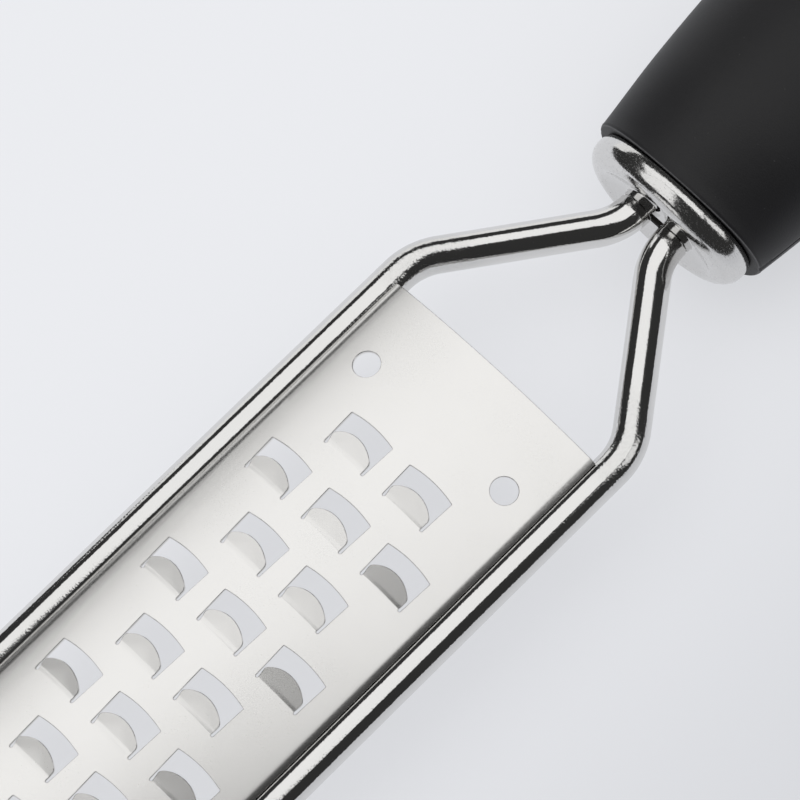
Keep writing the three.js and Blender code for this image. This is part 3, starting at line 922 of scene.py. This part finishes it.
class GRATER_OT_ferrule(bpy.types.Operator):
    """Turn the ferrule with its stubs and tang"""

    bl_idname = "grater.ferrule"
    bl_label = "Ferrule"

    def execute(self, context):
        settings = context.scene.grater
        sizes = settings.ferrule
        stub_y = settings.rod.stubs / 2
        back_x = grip_low.x + sizes.tuck
        rim_x = back_x - sizes.depth
        face_x = rim_x + sizes.dish
        rim_y = sizes.half_width - sizes.rim
        dish_radius = rim_y**2 / (2 * sizes.dish) + sizes.dish / 2
        look = settings.finish
        materials = bright_ferrule(look, sizes), dark_web(look)
        cap = self.cap(sizes, rim_x, face_x, dish_radius, *materials)
        for side in (-1, 1):
            stub = self.stub(sizes, settings.rod.rod / 2, face_x, side * stub_y, dish_radius)
            joined(cap, stub, "UNION")
        joined(cap, self.web(sizes, face_x), "UNION")
        joined(cap, self.tang(sizes, back_x), "UNION")
        for side in (-1, 1):
            joined(cap, self.bore(sizes, face_x - sizes.stub, side * stub_y), "DIFFERENCE")
        evened(cap)
        fitted(cap, "ferrule", 32)
        return {"FINISHED"}

    def cap(self, sizes, rim_x, face_x, dish_radius, *materials):
        """Dished face that runs smoothly into a rounded rim, with a spigot behind."""
        blend, lead_in, lead_out = 0.9 * MM, 0.4 * MM, 0.3 * MM
        rim_y = sizes.half_width - sizes.rim
        dish_end = math.asin((rim_y - blend) / dish_radius)
        crest_x = rim_x + sizes.depth * sizes.crest
        back_x = rim_x + sizes.depth
        back_y = sizes.half_width - sizes.back
        bm = bmesh.new()
        pen = Pen(bm, (face_x, 0, 0))
        pen.arc((face_x - dish_radius, 0, 0), dish_end, 26)
        ahead = Vector((-math.sin(dish_end), math.cos(dish_end), 0)) * lead_in
        front = Vector((rim_x, rim_y, 0))
        pen.curve(pen.tip.co + ahead, front - Vector((0, lead_out, 0)), front, 6)
        crest = Vector((crest_x, sizes.half_width, 0))
        rise = Vector((0, sizes.rim, 0)) * OVAL
        run = Vector((crest_x - rim_x, 0, 0)) * OVAL
        pen.curve(front + rise, crest - run, crest, 16)
        end = Vector((back_x, back_y, 0))
        run = Vector((back_x - crest_x, 0, 0)) * OVAL
        fall = Vector((0, sizes.back, 0)) * OVAL
        pen.curve(crest + run, end + fall, end, 12)
        pen.line((back_x, sizes.spigot_half, 0))
        pen.line((back_x + sizes.spigot, sizes.spigot_half, 0))
        pen.line((back_x + sizes.spigot, 0, 0))
        turned(bm, 144, 0, sizes.flatness)
        for vert in bm.verts:
            if vert.co.x < back_x + WELD:
                near = max((vert.co.x - face_x) / (back_x - face_x), 0)
                vert.co.x -= near * joint_bow(sizes, vert.co.z)
        return made_object("cap", bm, *materials)

    def stub(self, sizes, rod_radius, face_x, y, dish_radius):
        """Round stub with a flare that follows the dished face."""
        radius = rod_radius - sizes.stub_step
        edge, sink, root = 0.03 * MM, 0.003 * MM, 0.4 * MM
        sunk = face_x + sink
        front = face_x - sizes.stub
        bm = bmesh.new()
        pen = Pen(bm, (front, y, 0))
        pen.line((front, y + radius - edge, 0))
        pen.arc((front + edge, y + radius - edge, 0), -QUARTER, 3)
        pen.line((sunk - sizes.flare, y + radius, 0))
        pen.arc((sunk - sizes.flare, y + radius + sizes.flare, 0), QUARTER, 12)
        pen.line((face_x + root, y + radius + sizes.flare, 0))
        pen.line((face_x + root, y, 0))
        turned(bm, 72, y)
        for vert in bm.verts:
            near = min(max((vert.co.x - sunk) / sizes.flare + 1, 0), 1)
            out = math.hypot(vert.co.y, vert.co.z / sizes.flatness)
            vert.co.x -= near * (dish_radius - math.sqrt(dish_radius**2 - out**2))
        return made_object("stub", bm)

    def web(self, sizes, face_x):
        """Near-black block that fills the gap between the stubs."""
        setback, drop = 0.05 * MM, 0.2 * MM
        bm = bmesh.new()
        middle_x = face_x - sizes.stub + setback + sizes.web / 2
        middle = Matrix.Translation((middle_x, 0, -drop))
        shape = Matrix.Diagonal((sizes.web, sizes.web_width, sizes.web_height, 1))
        bmesh.ops.create_cube(bm, size=1, matrix=middle @ shape)
        for face in bm.faces:
            face.material_index = 1
        return made_object("web", bm)

    def tang(self, sizes, back_x):
        """Flat bar with softened edges."""
        run = sizes.tang + sizes.spigot
        bm = bmesh.new()
        middle = Matrix.Translation((back_x + run / 2, 0, 0))
        shape = Matrix.Diagonal((run, sizes.tang_width, sizes.tang_height, 1))
        bmesh.ops.create_cube(bm, size=1, matrix=middle @ shape)
        softening = 0.3 * MM
        rounded(bm, bm.edges[:], softening, 2)
        return made_object("tang", bm)

    def bore(self, sizes, front, y):
        """Round hole for a tenon."""
        run, lead = 6.6 * MM, 0.3 * MM
        bm = bmesh.new()
        middle = Matrix.Translation((front + run / 2 - lead, y, 0))
        bmesh.ops.create_cone(
            bm,
            cap_ends=True,
            segments=32,
            radius1=sizes.bore / 2,
            radius2=sizes.bore / 2,
            depth=run,
            matrix=middle @ Matrix.Rotation(QUARTER, 4, "Y"),
        )
        return made_object("bore", bm)


class GRATER_OT_core(bpy.types.Operator):
    """Give the handle's core its moulded plastic"""

    bl_idname = "grater.core"
    bl_label = "Handle core"

    def execute(self, context):
        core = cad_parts["handle_core"]
        core.data.materials.clear()
        core.data.materials.append(hard_black(context.scene.grater.finish))
        return {"FINISHED"}


class GRATER_OT_grip(bpy.types.Operator):
    """Mould the soft grip"""

    bl_idname = "grater.grip"
    bl_label = "Grip"

    def execute(self, context):
        settings = context.scene.grater
        sizes = settings.grip
        flatness = settings.ferrule.flatness
        bm = bmesh.new()
        self.profile(bm, sizes)
        turned(bm, 128, 0, flatness)
        self.fit_front(bm, sizes, settings.ferrule)
        self.part(bm, sizes)
        self.lift_palm(bm, sizes, flatness)
        # Where the painted highlight along the front edge lies.
        highlight_x = grip_low.x + sizes.setback + sizes.highlight_setback
        grip = made_object("grip", bm, soft_black(settings.finish, highlight_x, settings.ferrule))
        joined(grip, self.hole(sizes, flatness), "DIFFERENCE")
        fitted(grip, "handle_grip", 50)
        return {"FINISHED"}

    def profile(self, bm, sizes):
        """Half outline: the hollow, the front, the palm swell, the waist and the tail."""
        front = grip_low.x + sizes.setback
        back = grip_high.x
        edge = sizes.front_edge
        room, step, foot = 0.3 * MM, 0.08 * MM, 0.02 * MM
        hollow = core_high.x + room
        run = (sizes.swell_at - edge) / 3
        pen = Pen(bm, (hollow, 0, 0))
        pen.line((hollow, sizes.bore_half, 0))
        pen.line((front, sizes.bore_half, 0))
        pen.line((front, sizes.front - edge, 0))
        pen.arc((front + edge, sizes.front - edge, 0), -QUARTER, 8)
        pen.line((front + edge + step, sizes.front + sizes.front_line, 0))
        pen.line((front + edge + 2 * step, sizes.front + foot, 0))
        pen.curve(
            (front + edge + run, sizes.front + run * math.tan(sizes.front_flare), 0),
            (front + sizes.swell_at - run, sizes.swell, 0),
            (front + sizes.swell_at, sizes.swell, 0),
            22,
        )
        for x, half, next_x, next_half, steps in (
            (sizes.swell_at, sizes.swell, sizes.waist_at, sizes.waist, 22),
            (sizes.waist_at, sizes.waist, sizes.tail_at, sizes.tail, 18),
        ):
            run = (next_x - x) / 3
            pen.curve(
                (front + x + run, half, 0),
                (front + next_x - run, next_half, 0),
                (front + next_x, next_half, 0),
                steps,
            )
        run = (back - front - sizes.tail_at) / 3
        pen.curve((back - run * 2, sizes.tail, 0), (back, sizes.tail / 2, 0), (back, 0, 0), 24)

    def fit_front(self, bm, sizes, ferrule):
        """Flattens the front a little and bows it to follow the ferrule."""
        for vert in bm.verts:
            near = max(1 - (vert.co.x - grip_low.x - sizes.setback) / sizes.front_run, 0) ** 2
            if math.hypot(vert.co.y, vert.co.z / ferrule.flatness) > sizes.bore_half + WELD:
                vert.co.z *= 1 - sizes.front_dip * near
            vert.co.x -= near * joint_bow(ferrule, vert.co.z)

    def part(self, bm, sizes):
        """Presses the parting line into both sides."""
        clear = 0.2 * MM
        edge_x = grip_low.x + sizes.setback + sizes.front_edge + clear
        seam = [
            e
            for e in bm.edges
            if all(
                abs(v.co.z) < WELD and abs(v.co.y) > sizes.front * 0.5 and v.co.x > edge_x
                for v in e.verts
            )
            and max(abs(v.co.y) for v in e.verts) > sizes.bore_half + WELD
        ]
        rounded(bm, seam, sizes.parting / 2, 2)
        for vert in bm.verts:
            if abs(vert.co.z) < WELD and abs(vert.co.y) > sizes.bore_half + clear:
                vert.co.y -= math.copysign(sizes.parting_depth, vert.co.y)

    def lift_palm(self, bm, sizes, flatness):
        """Raises the outside of the palm swell, and lets it down again at the waist."""
        clear = 0.1 * MM
        for vert in bm.verts:
            if math.hypot(vert.co.y, vert.co.z / flatness) < sizes.bore_half + clear:
                continue
            run = vert.co.x - grip_low.x
            come = eased(run / sizes.lift_in)
            go = eased((run - sizes.swell_at) / (sizes.waist_at - sizes.swell_at))
            vert.co.z += sizes.lift * come * (1 - go)

    def hole(self, sizes, flatness):
        """A spool that cuts the hanging hole with rounded edges."""
        radius = sizes.hole / 2
        edge = sizes.hole_edge
        half = sizes.tail * flatness
        shoulder = half * 0.86 - edge
        top = half * 1.5
        bm = bmesh.new()
        pen = Pen(bm, (0, 0, 0))
        pen.line((0, radius, 0))
        pen.line((shoulder, radius, 0))
        pen.arc((shoulder, radius + edge * 2, 0), QUARTER * 0.9, 6)
        pen.line((top, radius + edge * 4, 0))
        pen.line((top, 0, 0))
        bmesh.ops.mirror(bm, geom=bm.verts[:] + bm.edges[:], axis="X", merge_dist=WELD)
        middle = [e for e in bm.edges if all(abs(v.co.x) < WELD for v in e.verts)]
        bmesh.ops.delete(bm, geom=middle, context="EDGES")
        turned(bm, 64)
        upright = Matrix.Rotation(QUARTER, 4, "Y")
        bmesh.ops.transform(bm, matrix=upright, verts=bm.verts)
        bmesh.ops.translate(bm, verts=bm.verts, vec=(grip_high.x - sizes.hole_at, 0, 0))
        return made_object("spool", bm)


class GRATER_OT_stage(bpy.types.Operator):
    """Set up the floor, the lamps, the room and the camera"""

    bl_idname = "grater.stage"
    bl_label = "Studio"

    def execute(self, context):
        studio = context.scene.grater.studio
        self.floor(studio)
        self.room(context.scene, studio)
        self.overhead("key", 0.265, 0.2, 0.62, 1.5, studio.key, 9)
        self.panel("back", self.toward(65, 11), Vector(), 0.73, 0.39, studio.back)
        self.overhead("over", -0.79, 0.4475, 1.42, 0.805, studio.over)
        self.overhead("far", -1.1, 0.97, 0.8, 0.24, studio.over)
        self.panel("side", self.toward(-56, 37) * 0.5, Vector(), 0.17, 0.27, studio.side)
        self.panel("end", self.toward(172, 12), Vector(), 0.35, 0.3, studio.end)
        self.camera(context.scene, studio)
        return {"FINISHED"}

    def overhead(self, name, x, y, width, height, brightness, turn=0):
        """A panel 1 m up that faces straight down."""
        self.panel(name, Vector((x, y, 1)), Vector((x, y, 0)), width, height, brightness, turn)

    def toward(self, azimuth, elevation):
        """A place 1 m away, in a direction given in degrees."""
        a, e = math.radians(azimuth), math.radians(elevation)
        return Vector((math.cos(a) * math.cos(e), math.sin(a) * math.cos(e), math.sin(e)))

    def floor(self, studio):
        bm = bmesh.new()
        low = Matrix.Translation((0, 0, solid_box[0].z))
        bmesh.ops.create_grid(bm, x_segments=1, y_segments=1, size=4, matrix=low)
        material, tree = finish("pale_floor")
        # Painted shade: the floor's colour darkens towards -Y, where less light falls.
        lit = tree.ease(tree.along(tree.object_place())["Y"], -0.075, 0.005)
        shade = tree.blend(lit, solid(studio.floor_shaded_side), solid(studio.floor))
        matt = tree.node("ShaderNodeBsdfDiffuse", None, {"Color": shade})["BSDF"]
        glow = tree.node("ShaderNodeEmission", None, {"Color": shade, "Strength": 1})["Emission"]
        path = tree.node("ShaderNodeLightPath")
        seen = path["Is Camera Ray"] + path["Is Glossy Ray"] + path["Is Transmission Ray"]
        mixed = tree.node("ShaderNodeMixShader", None, {0: seen * studio.glow, 1: matt, 2: glow})
        tree.node("ShaderNodeOutputMaterial", None, {"Surface": mixed["Shader"]})
        made_object("floor", bm, material)

    def room(self, scene, studio):
        """Pale to the camera, even to matt surfaces and dark to bright metal."""
        world = bpy.data.worlds.new("room")
        scene.world = world
        tree = Tree(world)
        path = tree.node("ShaderNodeLightPath")
        dark, fill = solid((studio.dark,) * 3), solid((studio.fill,) * 3)
        shade = tree.blend(path["Is Diffuse Ray"], dark, fill)
        shade = tree.blend(path["Is Camera Ray"], shade, solid(studio.floor))
        ground = tree.node("ShaderNodeBackground", None, {"Color": shade, "Strength": 1})
        tree.node("ShaderNodeOutputWorld", None, {"Surface": ground["Background"]})

    def panel(self, name, place, target, width, height, brightness, turn=0):
        lamp = bpy.data.lights.new(name, "AREA")
        lamp.shape = "RECTANGLE"
        lamp.size = width
        lamp.size_y = height
        lamp.energy = brightness * math.pi * width * height
        made = bpy.data.objects.new(name, lamp)
        bpy.context.collection.objects.link(made)
        facing = (target - place).to_track_quat("-Z", "Y").to_matrix().to_4x4()
        spun = Matrix.Rotation(math.radians(turn), 4, "Z")
        made.matrix_world = Matrix.Translation(place) @ facing @ spun
        made.visible_camera = False

    def camera(self, scene, studio):
        data = bpy.data.cameras.new("camera")
        data.sensor_width = 36
        data.lens = studio.lens
        data.clip_start = 0.01
        made = bpy.data.objects.new("camera", data)
        bpy.context.collection.objects.link(made)
        flat = Vector((math.cos(studio.heading), math.sin(studio.heading), 0))
        ahead = flat * math.cos(studio.tilt) - Vector((0, 0, math.sin(studio.tilt)))
        flat_right = ahead.cross(Vector((0, 0, 1))).normalized()
        right = flat_right * math.cos(studio.roll) + flat_right.cross(ahead) * math.sin(studio.roll)
        axes = Matrix((right, -ahead.cross(right), -ahead)).transposed().to_4x4()
        made.matrix_world = Matrix.Translation(studio.place) @ axes
        scene.camera = made
        scene.view_settings.view_transform = "Standard"


class GRATER_PT_panel(bpy.types.Panel):
    """The grater's pieces, in the order they are made"""

    bl_idname = "GRATER_PT_panel"
    bl_label = "Coarse Grater"
    bl_space_type = "VIEW_3D"
    bl_region_type = "UI"
    bl_category = "Grater"

    def draw(self, context):
        for operator in OPERATORS:
            self.layout.operator(operator.bl_idname)


SETTINGS = (BladeSizes, RodSizes, FerruleSizes, GripSizes, Finishes, Studio, GraterSettings)
OPERATORS = (
    GRATER_OT_blade,
    GRATER_OT_frame,
    GRATER_OT_ferrule,
    GRATER_OT_core,
    GRATER_OT_grip,
    GRATER_OT_stage,
)


def register():
    for made in (*SETTINGS, *OPERATORS, GRATER_PT_panel):
        bpy.utils.register_class(made)
    bpy.types.Scene.grater = group("Grater", GraterSettings)


def unregister():
    del bpy.types.Scene.grater
    for made in (GRATER_PT_panel, *reversed(OPERATORS), *reversed(SETTINGS)):
        bpy.utils.unregister_class(made)


def main():
    register()
    bpy.ops.grater.blade()
    bpy.ops.grater.frame()
    bpy.ops.grater.ferrule()
    bpy.ops.grater.core()
    bpy.ops.grater.grip()
    bpy.ops.grater.stage()


if __name__ == "__main__":
    main()
